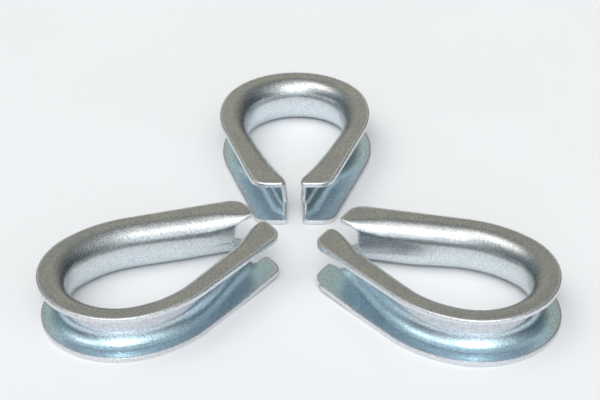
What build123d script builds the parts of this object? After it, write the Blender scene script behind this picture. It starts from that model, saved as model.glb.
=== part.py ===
from build123d import *
import os
from math import cos, radians, sin

# A set of three wire rope thimbles. Each one is a strip of sheet steel, pressed to a channel and bent
# to a teardrop, that lines the eye of a wire rope: the rope lies in the channel, round the outside.
# A thimble's own frame has the centre of its crown at the origin, +X towards its tip, and +Z up from
# the surface that it lies on. Its two legs mirror each other in the XZ plane. Sizes are millimetres.

# Driving dimensions
WIDTH = 32.0  # overall, across the rims
HEIGHT = 10.0  # overall, over both flanges
SHEET = 1.0  # thickness of the steel
BEND_RADIUS = 3.5  # outside of the bend from a flange into the web
CROWN_DEPTH = 5.7  # rim to the inner face of the web, round the crown
TIP_DEPTH = 7.2  # the same at the tip, where the legs come together
CROWN_RADIUS = 0.491 * WIDTH  # rim, round the crown
SHOULDER_RADIUS = 0.749 * WIDTH  # rim, where the crown runs into a leg
SHOULDER_START = 15.0  # degrees from the crown's widest point, where the shoulder takes over
LEG_ANGLE = 18.17  # degrees between a leg and the thimble's axis
TIP_X = 0.97 * WIDTH  # ends of the flanges
TIP_GAP = 2.8  # between the flanges of the two legs at the tip
CORNER_RADIUS = 3.6  # outer corners of the flanges at the tip
INNER_CORNER_RADIUS = 0.9  # their inner corners
NOTCH_X = 0.84 * WIDTH  # the web is cut back to here, which leaves the flange ends as lobes
NOTCH_LENGTH = 14.0  # of the cut in the web, which carries on clear of the lobes
NOTCH_HEIGHT = 5.6  # its height
NOTCH_RADIUS = 1.6  # its corners
NOTCH_REACH = 5.0  # how far the cut runs to each side of the thimble's axis
EDGE_RADIUS = 0.3  # outer edges of the flanges
TRIM_LENGTH = 4.0  # how far a leg is made past its cut end, before it is trimmed

# Where each thimble lies: its crown centre, and the way its tip points in degrees from +X
PLACES = {
    "thimble_back": (-1.6, 30.6, -90.0),
    "thimble_left": (-33.1, -30.3, 35.5),
    "thimble_right": (33.1, -30.7, 148.7),
}

# The rim of one half, from the middle of the crown round to the start of the straight leg
with BuildLine() as rim:
    crown = CenterArc((0, 0), CROWN_RADIUS, 180, SHOULDER_START - 90)
    shoulder = JernArc(crown @ 1, crown % 1, SHOULDER_RADIUS, -SHOULDER_START - LEG_ANGLE)

leg_angle = radians(LEG_ANGLE)
along_leg = Vector(cos(leg_angle), -sin(leg_angle), 0)
out_of_leg = Vector(sin(leg_angle), cos(leg_angle), 0)
leg_start = shoulder @ 1
leg_end = leg_start + along_leg * ((TIP_X - leg_start.X) / cos(leg_angle) + TRIM_LENGTH)

crown_plane = Plane(origin=crown @ 0, x_dir=(-1, 0, 0), z_dir=(0, 1, 0))
leg_plane = Plane(origin=leg_start, x_dir=out_of_leg, z_dir=along_leg)
end_plane = Plane(origin=leg_end, x_dir=out_of_leg, z_dir=along_leg)


def channel_section(plane, start, depth, low, high, bend):
    """A closed D on a plane whose X points out of the channel: flat at start, with bends at -depth."""
    with BuildSketch(plane) as section:
        with BuildLine():
            web = FilletPolyline((start, low), (-depth, low), (-depth, high), (start, high), radius=bend)
            Line(web @ 1, web @ 0)
        make_face()
    return section.sketch


def outside_section(plane, depth):
    """Outside of the channel, closed along the rim."""
    return channel_section(plane, 0, depth, 0, HEIGHT, BEND_RADIUS)


def groove_section(plane, depth):
    """Inside of the channel, carried past the rim so that it cuts clear."""
    return channel_section(plane, SHEET, depth - SHEET, SHEET, HEIGHT - SHEET, BEND_RADIUS - SHEET)


def half_channel(section):
    """Half a thimble's length of one section."""
    with BuildPart() as half:
        sweep(section(crown_plane, CROWN_DEPTH), path=rim.line)
        loft([section(leg_plane, CROWN_DEPTH), section(end_plane, TIP_DEPTH)], ruled=True)
    return half.part


# What is cut away between the flange ends, seen from the side
with BuildSketch(Plane.XZ.offset(-NOTCH_REACH)) as notch:
    with Locations((NOTCH_X, HEIGHT / 2)):
        RectangleRounded(NOTCH_LENGTH, NOTCH_HEIGHT, NOTCH_RADIUS, align=(Align.MIN, Align.CENTER))


def is_upright(face):
    """Whether a face stands square to the surface that the thimble lies on, as the rims do."""
    return abs(face.normal_at().Z) < 0.01


with BuildPart() as thimble:
    add(half_channel(outside_section))
    add(half_channel(groove_section), mode=Mode.SUBTRACT)
    extrude(notch.sketch, amount=NOTCH_REACH, mode=Mode.SUBTRACT)
    split(bisect_by=Plane.YZ.offset(TIP_X), keep=Keep.BOTTOM)
    with Locations((NOTCH_X, 0, 0)):
        Box(
            WIDTH,
            TIP_GAP,
            HEIGHT,
            align=(Align.MIN, Align.CENTER, Align.MIN),
            mode=Mode.SUBTRACT,
        )
    end_edges = thimble.edges().filter_by(Axis.Z).group_by(Axis.X)[-1].group_by(Axis.Y)
    fillet(end_edges[-1], radius=CORNER_RADIUS)
    fillet(thimble.edges().filter_by(Axis.Z).group_by(Axis.X)[-1], radius=INNER_CORNER_RADIUS)
    mirror(about=Plane.XZ)
    level_faces = thimble.faces().filter_by(Plane.XY).sort_by(Axis.Z)
    upright_faces = thimble.faces().filter_by(is_upright)
    outer_edges = ShapeList([level_faces[0], level_faces[-1]]).edges() & upright_faces.edges()
    fillet(outer_edges, radius=EDGE_RADIUS)

os.makedirs("parts", exist_ok=True)
for name, (crown_x, crown_y, heading) in PLACES.items():
    with BuildPart(Plane(Location((crown_x, crown_y, 0), (0, 0, heading)))) as placed:
        add(thimble.part)
    placed.part.label = name
    export_step(placed.part, f"parts/{name}.step")
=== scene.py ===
import math

import bpy
import numpy as np
from mathutils import Matrix, Vector


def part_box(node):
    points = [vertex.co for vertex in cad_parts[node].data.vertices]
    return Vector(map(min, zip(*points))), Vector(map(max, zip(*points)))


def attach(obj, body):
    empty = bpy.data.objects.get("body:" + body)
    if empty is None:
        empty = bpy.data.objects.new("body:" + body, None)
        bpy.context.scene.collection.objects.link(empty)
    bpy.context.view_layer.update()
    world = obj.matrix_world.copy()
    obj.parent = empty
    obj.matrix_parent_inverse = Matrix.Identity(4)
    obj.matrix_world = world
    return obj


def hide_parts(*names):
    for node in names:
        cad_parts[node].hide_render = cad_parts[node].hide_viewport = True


# Three loose wire rope thimbles of pressed, zinc-plated sheet steel, lying on a pale surface.
# Lengths are in metres and angles in radians. A thimble's own frame has the centre of its crown at the
# origin, +X towards its tip and z = 0 on the surface. Its middle surface is one grid: rows step along
# the strip, from one cut end round the crown to the other, and columns step across it, from the upper
# rim down round the web to the lower rim. Half a sheet is added on each side, and a band closes the
# edge all the way round.

MM = 0.001

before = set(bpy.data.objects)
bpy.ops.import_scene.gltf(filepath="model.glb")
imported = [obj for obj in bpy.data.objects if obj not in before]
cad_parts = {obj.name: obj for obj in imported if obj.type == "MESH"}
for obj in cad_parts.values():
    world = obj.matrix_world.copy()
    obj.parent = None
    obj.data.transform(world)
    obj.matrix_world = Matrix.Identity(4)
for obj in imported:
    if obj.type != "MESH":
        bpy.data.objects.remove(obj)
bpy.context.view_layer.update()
back_low, back_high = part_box("thimble_back")

# Driving dimensions. The back thimble lies square to the row axes, so its box gives its width and height.
WIDTH = back_high.x - back_low.x
HEIGHT = back_high.z - back_low.z
SHEET = 0.1 * HEIGHT
BEND_RADIUS = 0.35 * HEIGHT  # outside of the upper bends
LOWER_BEND_RADIUS = 0.38 * HEIGHT
LOWER_TIP_BEND = 1.8 * MM  # outside of the lower bends at the tip
CROWN_DEPTH = 0.178 * WIDTH  # rim to the inner face of the web, at its upper side
LOWER_CROWN_DEPTH = 0.168 * WIDTH
TIP_DEPTH = 0.225 * WIDTH
DEPTH_POWER = 1.5  # how the upper depth grows along the leg
CROWN_RADIUS = 0.491 * WIDTH
SHOULDER_RADIUS = 0.749 * WIDTH
SHOULDER_START = math.radians(15.0)
LEG_ANGLE = math.radians(18.17)
TIP_X = 0.97 * WIDTH
NOTCH_X = 0.84 * WIDTH
NOTCH_FLAT = 0.34 * HEIGHT  # the notch is at its deepest up to here from the web's middle
NOTCH_WIDTH = 0.55 * HEIGHT  # and has run out here
TEAR = 0.3 * MM  # roughness of the web's torn end
CORNER_RADIUS = 3.6 * MM
ROLLOVER = 0.28 * MM  # radius of the rolled side of a sheared edge
BURR = 0.08 * MM  # and of its other side

# Shares of the leg where the tip's changes start: tighter upper bends, tighter lower bends, a raised flange
PRESS_START = 0.6
LOBE_START = 0.8
LIFT_START = 0.3
SPREAD_FADE = 0.7  # how much of the lower flange's spread is gone at its bend
RIM_CROWDING = math.radians(70)  # how strongly a flange's columns crowd towards its rim

# A plain thimble, with the CAD's outline: how far its tip reaches, the radius of its upper bends there, and
# the depth of the web's upper side there. The next three values differ between the leg at +Y, given first,
# and the one at -Y: the depth of the web's lower side at the tip, how soon along the leg it gets there, and
# how far the lower flange rises at the tip. Then come how far the lower flange is spread, how far the lower
# side stands towards the scene's +X, and a seed for the torn edges.
PLAIN = dict(
    tip_x=TIP_X,
    tip_bend=BEND_RADIUS,
    high_depth=TIP_DEPTH,
    low_depths=(TIP_DEPTH, TIP_DEPTH),
    paces=(2.0, 2.0),
    lifts=(0.0, 0.0),
    spread=0.0,
    lean=0.0,
    seed=0,
)

# No two pressings came out alike. The heading is the way that the tip points, in degrees from +X.
THIMBLES = {
    "back": PLAIN | dict(
        heading=-90.0,
        tip_x=0.966 * WIDTH,
        tip_bend=2.5 * MM,
        high_depth=7.7 * MM,
        low_depths=(7.5 * MM, 7.5 * MM),
        lean=0.45 * MM,
        seed=10,
    ),
    "left": PLAIN | dict(
        heading=35.5,
        tip_x=0.977 * WIDTH,
        tip_bend=1.5 * MM,
        high_depth=7.2 * MM,
        low_depths=(5.7 * MM, 7.6 * MM),
        paces=(2.0, 1.2),
        lifts=(0.0, 0.9 * MM),
        spread=-0.2 * MM,
        seed=20,
    ),
    "right": PLAIN | dict(
        heading=148.7,
        tip_x=0.968 * WIDTH,
        tip_bend=1.5 * MM,
        high_depth=7.2 * MM,
        low_depths=(8.0 * MM, 6.5 * MM),
        paces=(1.2, 2.0),
        lifts=(0.8 * MM, 0.0),
        spread=0.6 * MM,
        seed=30,
    ),
}

# Grid steps along half a thimble and across the strip
CROWN_STEPS, SHOULDER_STEPS, LEG_STEPS = 26, 18, 30
FLANGE_STEPS, BEND_STEPS, WEB_STEPS = 14, 20, 8

half_sheet = SHEET / 2
crown_end = CROWN_RADIUS * (math.pi / 2 - SHOULDER_START)
shoulder_end = crown_end + SHOULDER_RADIUS * (SHOULDER_START + LEG_ANGLE)
shoulder_centre = (CROWN_RADIUS - SHOULDER_RADIUS) * np.array(
    [-math.sin(SHOULDER_START), math.cos(SHOULDER_START)]
)
along_leg = np.array([math.cos(LEG_ANGLE), -math.sin(LEG_ANGLE)])
out_of_leg = np.array([math.sin(LEG_ANGLE), math.cos(LEG_ANGLE)])
leg_start = shoulder_centre + SHOULDER_RADIUS * out_of_leg


def unit(vectors):
    """Vectors scaled to length 1."""
    return vectors / np.linalg.norm(vectors, axis=-1, keepdims=True)


def smooth_step(share):
    """0 below 0, 1 above 1, and a smooth ramp between."""
    share = np.clip(share, 0, 1)
    return share * share * (3 - 2 * share)


def plan_point(s, depth):
    """Plan position at distance s from the crown's middle, measured along the rim, and depth inside it."""
    turned = np.clip(SHOULDER_START - (s - crown_end) / SHOULDER_RADIUS, -LEG_ANGLE, None)
    turned = np.where(s < crown_end, math.pi / 2 - s / CROWN_RADIUS, turned)
    outwards = np.stack([-np.sin(turned), np.cos(turned)], -1)
    on_crown = (s < crown_end)[..., None]
    centre = np.where(on_crown, 0.0, shoulder_centre)
    radius = np.where(on_crown, CROWN_RADIUS, SHOULDER_RADIUS)
    straight = np.clip(s - shoulder_end, 0, None)[..., None] * along_leg
    return centre + (radius - depth[..., None]) * outwards + straight


def section():
    """The strip's columns, from the upper rim down across the web to the lower rim.

    Gives each column's share of the flange, the sine and cosine of its turn into the web, and its side:
    1 on the upper flange and bend, -1 on the lower ones, and between them down the web.
    """
    round_in = 1 - np.cos(np.linspace(0, RIM_CROWDING, FLANGE_STEPS + 1))
    turn = math.pi / 4 * (1 - np.cos(np.linspace(0, math.pi, BEND_STEPS + 1)[1:]))
    share = np.concatenate([round_in / round_in[-1], np.ones(BEND_STEPS)])
    sine = np.concatenate([np.zeros(FLANGE_STEPS + 1), np.sin(turn)])
    cosine = np.concatenate([np.ones(FLANGE_STEPS + 1), np.cos(turn)])
    side = np.ones(len(share))
    web = np.linspace(1, -1, WEB_STEPS + 1)[1:-1]
    return (
        np.concatenate([share, np.ones(len(web)), share[::-1]]),
        np.concatenate([sine, np.ones(len(web)), sine[::-1]]),
        np.concatenate([cosine, np.zeros(len(web)), cosine[::-1]]),
        np.concatenate([side, web, -side]),
    )


def channel(along, shape, half):
    """Depth inside the rim and height of the middle surface; along is 0 up to the leg and 1 at its tip."""
    share, sine, cosine, side = section()
    upper = (1 + side) / 2
    near_tip = smooth_step((along - PRESS_START) / (1 - PRESS_START))
    at_tip = smooth_step((along - LOBE_START) / (1 - LOBE_START))
    upper_bend = BEND_RADIUS + (shape["tip_bend"] - BEND_RADIUS) * near_tip
    lower_bend = LOWER_BEND_RADIUS + (LOWER_TIP_BEND - LOWER_BEND_RADIUS) * at_tip
    bend = upper_bend * upper + lower_bend * (1 - upper) - half_sheet
    upper_depth = CROWN_DEPTH + (shape["high_depth"] - CROWN_DEPTH) * along**DEPTH_POWER
    deeper = smooth_step(along * shape["paces"][half])
    lower_depth = LOWER_CROWN_DEPTH + (shape["low_depths"][half] - LOWER_CROWN_DEPTH) * deeper
    web_depth = upper_depth * upper + lower_depth * (1 - upper) - half_sheet
    depth = ROLLOVER + share * (web_depth - bend - ROLLOVER) + bend * sine
    height = HEIGHT / 2 + side * (HEIGHT / 2 - half_sheet - bend * (1 - cosine))
    low = np.clip(1 - 2 * height / HEIGHT, 0, 1)
    rise = shape["lifts"][half] * low * smooth_step((along - LIFT_START) / (1 - LIFT_START))
    return depth - shape["spread"] * low * (1 - SPREAD_FADE * share), height + rise


def leg_length(depth, from_web, tip_x):
    """How far along the leg each column reaches.

    The flanges end in round-cornered lobes, and the web between them is cut back in a notch.
    """
    lobe = smooth_step((from_web - NOTCH_FLAT) / (NOTCH_WIDTH - NOTCH_FLAT))
    cut = NOTCH_X + (tip_x - NOTCH_X) * lobe - ROLLOVER - leg_start[0]
    straight = (cut + depth * math.sin(LEG_ANGLE)) / math.cos(LEG_ANGLE)
    radius = CORNER_RADIUS - ROLLOVER
    inside = depth - ROLLOVER
    tip = tip_x - ROLLOVER - leg_start[0]
    corner = (tip + math.sin(LEG_ANGLE) * CORNER_RADIUS - radius) / math.cos(LEG_ANGLE)
    rounded = corner + np.sqrt(np.clip(radius**2 - (radius - inside) ** 2, 0, None))
    return np.where(inside < radius * (1 - math.sin(LEG_ANGLE)), rounded, straight)


def half_grid(shape, half):
    """Middle surface of one half, 0 at +Y or 1 at -Y, with rows from the crown's middle to the cut end."""
    rows = np.concatenate(
        [
            np.linspace(0, crown_end, CROWN_STEPS + 1),
            np.linspace(crown_end, shoulder_end, SHOULDER_STEPS + 1)[1:],
            np.full(LEG_STEPS, shoulder_end),
        ]
    )[:, None]
    leg_share = np.zeros((len(rows), 1))
    leg_share[-LEG_STEPS:, 0] = np.linspace(0, 1, LEG_STEPS + 1)[1:]
    side = section()[3]
    depth, height = channel(np.ones(len(side)), shape, half)
    across = np.cumsum(np.hypot(np.diff(depth, prepend=depth[0]), np.diff(height, prepend=height[0])))
    from_web = abs(across - np.interp(0, -side, across))
    reach = leg_length(depth, from_web, shape["tip_x"])
    # The web's cut end is torn rather than sheared clean
    torn = np.random.default_rng(shape["seed"] + half).uniform(-1, 1, len(side))
    reach += TEAR * torn * (from_web < NOTCH_WIDTH / 2)
    s = rows + leg_share * reach
    depth, height = channel(np.clip((s - shoulder_end) / reach.max(), 0, 1), shape, half)
    return np.concatenate([plan_point(s, depth), height[..., None]], -1), s


def full_grid(shape):
    """Middle surface from cut end to cut end, and each point's distance along the strip."""
    left, s_left = half_grid(shape, 0)
    right, s_right = half_grid(shape, 1)
    right *= np.array([1, -1, 1])
    return np.concatenate([right[:0:-1], left]), np.concatenate([-s_right[:0:-1], s_left])


def tangents(grid, axis):
    """The directions of a grid's lines along an axis, whose steps needn't be even."""
    lines = np.moveaxis(grid, axis, 0)
    steps = np.diff(lines, axis=0)
    lengths = np.linalg.norm(steps, axis=-1, keepdims=True)
    steps = steps / lengths
    between = unit(steps[:-1] * lengths[1:] + steps[1:] * lengths[:-1])
    return np.moveaxis(np.concatenate([steps[:1], between, steps[-1:]]), 0, axis)


def edge_profile():
    """The sheared edge from its rolled outer side to its burred groove side: how far out, how high."""
    roll = np.linspace(0, math.pi / 2, 5)
    burr = np.linspace(0, math.pi / 2, 3)
    out = np.concatenate([ROLLOVER * np.sin(roll), ROLLOVER - BURR + BURR * np.cos(burr)])
    up = np.concatenate(
        [half_sheet - ROLLOVER + ROLLOVER * np.cos(roll), -half_sheet + BURR - BURR * np.sin(burr)]
    )
    return out, up


def thimble_mesh(name, grid, s):
    """The mesh of a sheet about a middle surface: both faces, and a band round the edge."""
    n_rows, n_columns = grid.shape[:2]
    normal = unit(np.cross(tangents(grid, 1), tangents(grid, 0)))
    index = np.arange(n_rows * n_columns).reshape(n_rows, n_columns)
    points = [(grid + normal * half_sheet).reshape(-1, 3), (grid - normal * half_sheet).reshape(-1, 3)]
    across = np.concatenate([[0], np.cumsum(np.linalg.norm(np.diff(grid[n_rows // 2], axis=0), axis=1))])
    from_rim = np.minimum(across, across[-1] - across)
    from_edge = np.minimum(from_rim, abs(s[-1]) - abs(s))
    strip = np.stack([s, np.broadcast_to(across, s.shape)], -1).reshape(-1, 2)
    edge = np.stack([from_edge, 0 * from_edge], -1).reshape(-1, 2)
    strips, edges = [strip, strip], [edge, edge]

    a, b, c, d = index[:-1, :-1], index[:-1, 1:], index[1:, 1:], index[1:, :-1]
    outer = np.stack([a, b, c, d], -1).reshape(-1, 4)
    inner = np.stack([d, c, b, a], -1).reshape(-1, 4) + index.size

    loop = np.concatenate([index[:-1, 0], index[-1, :-1], index[:0:-1, -1], index[0, :0:-1]])
    middle, up = grid.reshape(-1, 3)[loop], normal.reshape(-1, 3)[loop]
    steps = unit(np.roll(middle, -1, 0) - middle)
    out = unit(np.cross(up, steps + np.roll(steps, 1, 0)))
    profile = np.stack(edge_profile(), -1)[1:-1]
    first = 2 * index.size
    round_edge = np.cumsum(np.linalg.norm(np.roll(middle, -1, 0) - middle, axis=1))
    for reach, rise in profile:
        points.append(middle + out * reach + up * rise)
        strips.append(np.stack([round_edge, 0 * round_edge + rise], -1))
        edges.append(np.zeros((len(loop), 2)))
    rings = [loop]
    rings += [first + k * len(loop) + np.arange(len(loop)) for k in range(len(profile))]
    rings += [loop + index.size]
    band = []
    for ring, below in zip(rings, rings[1:]):
        band.append(np.stack([ring, np.roll(ring, -1), np.roll(below, -1), below], -1))

    mesh = bpy.data.meshes.new(name)
    faces = np.concatenate([outer, inner, *band])
    mesh.from_pydata(np.concatenate(points).tolist(), [], faces.tolist())
    slots = np.concatenate([np.zeros(len(outer)), np.ones(len(inner)), np.full(len(band) * len(loop), 2)])
    mesh.polygons.foreach_set("material_index", slots.astype(np.int32))
    mesh.polygons.foreach_set("use_smooth", np.ones(len(faces), bool))
    corner = np.zeros(len(mesh.loops), np.int32)
    mesh.loops.foreach_get("vertex_index", corner)
    for layer, places in (("strip", strips), ("edge", edges)):
        uv_layer = mesh.uv_layers.new(name=layer)
        uv_layer.data.foreach_set("uv", np.concatenate(places)[corner].astype(np.float32).ravel())
    mesh.update()
    return mesh


def fill(tree, socket, value):
    """Link a socket to an output, or set its value."""
    if isinstance(value, bpy.types.NodeSocket):
        tree.links.new(value, socket)
    else:
        socket.default_value = value


def calculate(tree, operation, *values):
    """The output of a math node."""
    node = tree.nodes.new("ShaderNodeMath")
    node.operation = operation
    for socket, value in zip(node.inputs, values):
        fill(tree, socket, value)
    return node.outputs[0]


def vector_math(tree, operation, **values):
    """A vector math node with its Vector, Vector_001 or Scale inputs filled."""
    node = tree.nodes.new("ShaderNodeVectorMath")
    node.operation = operation
    by_name = {socket.identifier: socket for socket in node.inputs}
    for name, value in values.items():
        fill(tree, by_name[name], value)
    return node


def noise(tree, place, size, detail=2.0, rough=0.5):
    """Noise from 0 to 1 whose marks are about a given size."""
    node = tree.nodes.new("ShaderNodeTexNoise")
    tree.links.new(place, node.inputs["Vector"])
    node.inputs["Scale"].default_value = 1 / size
    node.inputs["Detail"].default_value = detail
    node.inputs["Roughness"].default_value = rough
    return node.outputs[0]


def ramp(tree, value, start, end, low=0.0, high=1.0):
    """Smoothly from low, where the value is start, to high, where it is end."""
    node = tree.nodes.new("ShaderNodeMapRange")
    node.interpolation_type = "SMOOTHSTEP"
    for name, number in (("From Min", start), ("From Max", end), ("To Min", low), ("To Max", high)):
        node.inputs[name].default_value = number
    tree.links.new(value, node.inputs["Value"])
    return node.outputs[0]


def blend(tree, share, first, second):
    """The first colour where the share is 0 and the second where it is 1."""
    node = tree.nodes.new("ShaderNodeMix")
    node.data_type = "RGBA"
    tree.links.new(share, node.inputs[0])
    for socket, colour in zip((node.inputs[6], node.inputs[7]), (first, second)):
        fill(tree, socket, colour if isinstance(colour, bpy.types.NodeSocket) else (*colour, 1.0))
    return node.outputs[2]


def emboss(tree, height, distance, below=None):
    """A bump of the given depth, on top of another one."""
    node = tree.nodes.new("ShaderNodeBump")
    node.inputs["Distance"].default_value = distance
    tree.links.new(height, node.inputs["Height"])
    if below:
        tree.links.new(below, node.inputs["Normal"])
    return node.outputs[0]


def new_material(name, metallic):
    """A node material: its tree, its principled shader and its object coordinates."""
    material = bpy.data.materials.new(name)
    material.use_nodes = True
    tree = material.node_tree
    shader = tree.nodes["Principled BSDF"]
    shader.inputs["Metallic"].default_value = metallic
    place = tree.nodes.new("ShaderNodeTexCoord").outputs["Object"]
    return material, tree, shader, place


def uv(tree, layer):
    """The two coordinates of a UV layer."""
    node = tree.nodes.new("ShaderNodeUVMap")
    node.uv_map = layer
    parts = tree.nodes.new("ShaderNodeSeparateXYZ")
    tree.links.new(node.outputs[0], parts.inputs[0])
    return parts.outputs[0], parts.outputs[1]


# Zinc plate
GRAIN_SIZE = 0.3 * MM
GRAIN_DEPTH = 0.04 * MM
GRAIN_DARK = (0.72, 0.72, 0.72)
GRAIN_BRIGHT = (1.12, 1.12, 1.12)
CLOUD_SIZE = 7.0 * MM
PEEL_SIZE = 1.4 * MM
PEEL_DEPTH = 0.03 * MM
# Painted reflection: the strip's lower side is painted lighter and bluer, standing in for the floor and the
# bluish light that it reflects. Its colour turns over this band.
PAINTED_REFLECTION_BAND = 5.0 * MM  # over which its colour turns, across the strip
WORN_COLOUR = (0.78, 0.8, 0.82)
WORN_REACH = (0.1 * MM, -0.15 * MM)  # where wear starts and is full, from an edge that is made ragged
WORN_RAGGED = 0.5 * MM  # the most that the grain moves that edge outwards
PLATE_ROUGHNESS = 0.1
GRAIN_ROUGHNESS = 0.16  # the most that each of these adds
CLOUD_ROUGHNESS = 0.06
WORN_ROUGHNESS = 0.08

# Sheared edge
SHEAR_SIZE = 0.22 * MM
SHEAR_DEPTH = 0.05 * MM
SHEAR_SQUEEZE = 0.15  # of the marks through the sheet, which makes lines of them
EDGE_GRAIN_SIZE = 0.25 * MM
EDGE_GRAIN_DEPTH = 0.02 * MM
EDGE_DARK = (0.6, 0.63, 0.66)
EDGE_BRIGHT = (0.86, 0.87, 0.88)
EDGE_ROUGHNESS = 0.18
EDGE_GRAIN_ROUGHNESS = 0.2

# Table top
MOTTLE_SIZE = 40.0 * MM
TABLE_DARK = (0.91, 0.91, 0.90)
TABLE_BRIGHT = (0.94, 0.94, 0.935)
TABLE_ROUGHNESS = 0.55


def zinc(name, clean, cloudy, painted_reflection_colour, painted_reflection_from):
    """Zinc plate: a fine crystalline grain, clouds of passivation colour, and rims worn bright.

    The colour is clean with patches of cloudy. Beyond the given distance across the strip it turns to the
    lower side's colour, a painted reflection of the floor and the bluish light that makes the lower side
    lighter and bluer.
    """
    material, tree, shader, place = new_material(name, 1.0)
    across = uv(tree, "strip")[1]
    from_edge = uv(tree, "edge")[0]
    grain = noise(tree, place, GRAIN_SIZE, 3.0, 0.65)
    clouds = noise(tree, place, CLOUD_SIZE, 3.0, 0.6)
    orange_peel = noise(tree, place, PEEL_SIZE, 2.0)

    colour = blend(tree, ramp(tree, clouds, 0.35, 0.65), clean, cloudy)
    # Painted reflection: beyond the given distance across the strip, the lower side turns lighter and bluer
    colour = blend(tree, ramp(tree, across, painted_reflection_from, painted_reflection_from + PAINTED_REFLECTION_BAND), colour, painted_reflection_colour)
    shade = blend(tree, ramp(tree, grain, 0.3, 0.7), GRAIN_DARK, GRAIN_BRIGHT)
    colour = vector_math(tree, "MULTIPLY", Vector=colour, Vector_001=shade).outputs[0]
    ragged = calculate(tree, "MULTIPLY_ADD", grain, -WORN_RAGGED, from_edge)
    worn = ramp(tree, ragged, *WORN_REACH)
    colour = blend(tree, worn, colour, WORN_COLOUR)
    tree.links.new(colour, shader.inputs["Base Color"])

    rough = calculate(tree, "MULTIPLY_ADD", grain, GRAIN_ROUGHNESS, PLATE_ROUGHNESS)
    rough = calculate(tree, "MULTIPLY_ADD", clouds, CLOUD_ROUGHNESS, rough)
    rough = calculate(tree, "MULTIPLY_ADD", worn, WORN_ROUGHNESS, rough)
    tree.links.new(rough, shader.inputs["Roughness"])

    bumps = emboss(tree, orange_peel, PEEL_DEPTH)
    bumps = emboss(tree, grain, GRAIN_DEPTH, bumps)
    tree.links.new(bumps, shader.inputs["Normal"])
    return material


def sheared_edge():
    """The cut edge: bare bright steel with shear lines running through the sheet."""
    material, tree, shader, place = new_material("cut_edge", 1.0)
    along, through = uv(tree, "strip")
    lines = tree.nodes.new("ShaderNodeCombineXYZ")
    tree.links.new(along, lines.inputs[0])
    tree.links.new(calculate(tree, "MULTIPLY", through, SHEAR_SQUEEZE), lines.inputs[1])
    shear = noise(tree, lines.outputs[0], SHEAR_SIZE, 2.0, 0.6)
    grain = noise(tree, place, EDGE_GRAIN_SIZE, 2.0)
    colour = blend(tree, ramp(tree, shear, 0.35, 0.65), EDGE_DARK, EDGE_BRIGHT)
    tree.links.new(colour, shader.inputs["Base Color"])
    rough = calculate(tree, "MULTIPLY_ADD", grain, EDGE_GRAIN_ROUGHNESS, EDGE_ROUGHNESS)
    tree.links.new(rough, shader.inputs["Roughness"])
    bumps = emboss(tree, shear, SHEAR_DEPTH)
    tree.links.new(emboss(tree, grain, EDGE_GRAIN_DEPTH, bumps), shader.inputs["Normal"])
    return material


def floor_material():
    """A smooth white table top with the faintest mottling."""
    material, tree, shader, place = new_material("table_white", 0.0)
    mottle = noise(tree, place, MOTTLE_SIZE, 3.0)
    tree.links.new(blend(tree, mottle, TABLE_DARK, TABLE_BRIGHT), shader.inputs["Base Color"])
    shader.inputs["Roughness"].default_value = TABLE_ROUGHNESS
    return material


# On both faces the lower side's colour is a painted reflection of the floor and the bluish light, lighter
# and bluer than the zinc's own tint
materials = [
    zinc(
        "zinc_face",
        clean=(0.60, 0.62, 0.59),
        cloudy=(0.55, 0.57, 0.57),
        painted_reflection_colour=(0.74, 0.80, 0.84),
        painted_reflection_from=4 * MM,
    ),
    zinc(
        "zinc_channel",
        clean=(0.70, 0.73, 0.78),
        cloudy=(0.70, 0.70, 0.76),
        painted_reflection_colour=(0.69, 0.92, 0.99),
        painted_reflection_from=8 * MM,
    ),
    sheared_edge(),
]

# Each thimble is turned to its heading, and placed so that a plain one's outline would fill its CAD box
for name, shape in THIMBLES.items():
    turn = np.array(Matrix.Rotation(math.radians(shape["heading"]), 3, "Z"))
    low = (full_grid(PLAIN)[0] @ turn.T).min(axis=(0, 1))[:2] - ROLLOVER
    grid, s = full_grid(shape)
    grid = grid @ turn.T
    grid[..., :2] += np.array(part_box(f"thimble_{name}")[0])[:2] - low
    grid[..., 0] += shape["lean"] * (1 - grid[..., 2] / HEIGHT)
    mesh = thimble_mesh(f"thimble_{name}_strip", grid, s)
    piece = bpy.data.objects.new(f"{name}_thimble_strip", mesh)
    bpy.context.scene.collection.objects.link(piece)
    for material in materials:
        mesh.materials.append(material)
    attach(piece, f"{name}_thimble")
    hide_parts(f"thimble_{name}")

# Camera: it looks along +Y, turned a little to the left, and down by its elevation
CAMERA_ELEVATION = math.radians(32.68)
CAMERA_TURN = math.radians(1.09)
CAMERA_ROLL = math.radians(-0.59)
CAMERA_DISTANCE = 348.4 * MM
CAMERA_LENS = 105.9  # millimetres, behind a sensor of SENSOR_WIDTH
SENSOR_WIDTH = 36.0
AIM = Vector((0.03, -6.45, 10.0)) * MM
camera_data = bpy.data.cameras.new("camera")
camera_data.lens = CAMERA_LENS
camera_data.sensor_width = SENSOR_WIDTH
camera_data.clip_start = 0.01
camera = bpy.data.objects.new("camera", camera_data)
bpy.context.scene.collection.objects.link(camera)
turn = Matrix.Rotation(CAMERA_TURN, 4, "Z")
tilt = Matrix.Rotation(math.pi / 2 - CAMERA_ELEVATION, 4, "X")
roll = Matrix.Rotation(CAMERA_ROLL, 4, "Z")
back_off = Matrix.Translation((0, 0, CAMERA_DISTANCE))
camera.matrix_world = Matrix.Translation(AIM) @ turn @ tilt @ roll @ back_off
bpy.context.scene.camera = camera

# Floor
FLOOR_REACH = 1.5
floor_mesh = bpy.data.meshes.new("floor")
floor_corners = [(x * FLOOR_REACH, y * FLOOR_REACH, 0) for x, y in ((-1, -1), (1, -1), (1, 1), (-1, 1))]
floor_mesh.from_pydata(floor_corners, [], [(0, 1, 2, 3)])
floor_mesh.materials.append(floor_material())
floor = bpy.data.objects.new("floor", floor_mesh)
bpy.context.scene.collection.objects.link(floor)

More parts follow.
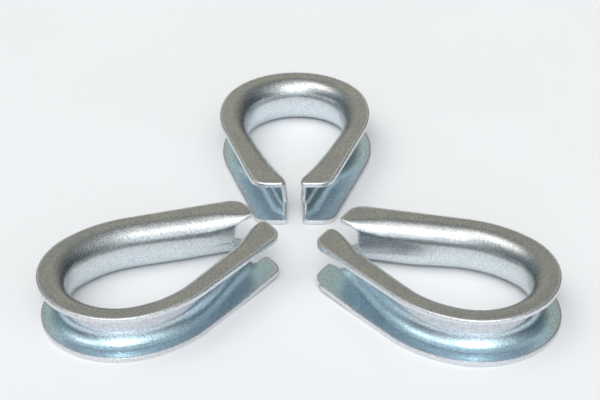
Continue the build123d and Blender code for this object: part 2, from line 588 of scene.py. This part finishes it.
# Studio: a low light in front, a broad one above it with a small bright lamp inside, a tighter one high on
# the left, a dim warm wall at the back, a bluish wall on the left and a dimmer one on the right, and a
# faint glow all round. Each has its azimuth from +X, its elevation, how tight it is, and its colour.
# Towards the horizon they all fade to a share.
LIGHTS = (
    (272.0, 14.0, 6.0, (0.75, 0.85, 0.95)),
    (275.0, 55.0, 4.2, (1.50, 1.52, 1.55)),
    (268.0, 50.0, 60.0, (6.0, 6.0, 6.0)),
    (183.0, 63.0, 20.0, (2.2, 2.1, 2.0)),
    (91.0, 24.0, 7.0, (0.46, 0.43, 0.36)),
    (163.0, 30.0, 5.0, (0.16, 0.21, 0.25)),
    (17.0, 30.0, 5.0, (0.02, 0.04, 0.06)),
)
GLOW = (0.03, 0.04, 0.05)
HORIZON = (0.02, 0.15)  # sines of the elevations between which the lights fade in
HORIZON_SHARE = 0.45  # of their light that is left below that
world = bpy.data.worlds.new("studio")
world.use_nodes = True
sky = world.node_tree
direction = sky.nodes.new("ShaderNodeTexCoord").outputs["Generated"]
up = sky.nodes.new("ShaderNodeSeparateXYZ")
sky.links.new(direction, up.inputs[0])
above = ramp(sky, up.outputs[2], *HORIZON, low=HORIZON_SHARE)
total = None
for azimuth, elevation, tightness, colour in LIGHTS:
    swing = Matrix.Rotation(math.radians(azimuth), 3, "Z")
    raised = Matrix.Rotation(-math.radians(elevation), 3, "Y")
    centre = swing @ raised @ Vector((1, 0, 0))
    nearness = vector_math(sky, "DOT_PRODUCT", Vector=direction, Vector_001=centre)
    power = calculate(sky, "MULTIPLY_ADD", nearness.outputs["Value"], tightness, -tightness)
    shine = calculate(sky, "MULTIPLY", calculate(sky, "EXPONENT", power), above)
    light = vector_math(sky, "SCALE", Vector=colour, Scale=shine).outputs[0]
    total = vector_math(sky, "ADD", Vector=light, Vector_001=total or GLOW).outputs[0]
sky.links.new(total, sky.nodes["Background"].inputs["Color"])
bpy.context.scene.world = world
bpy.context.scene.view_settings.view_transform = "Standard"
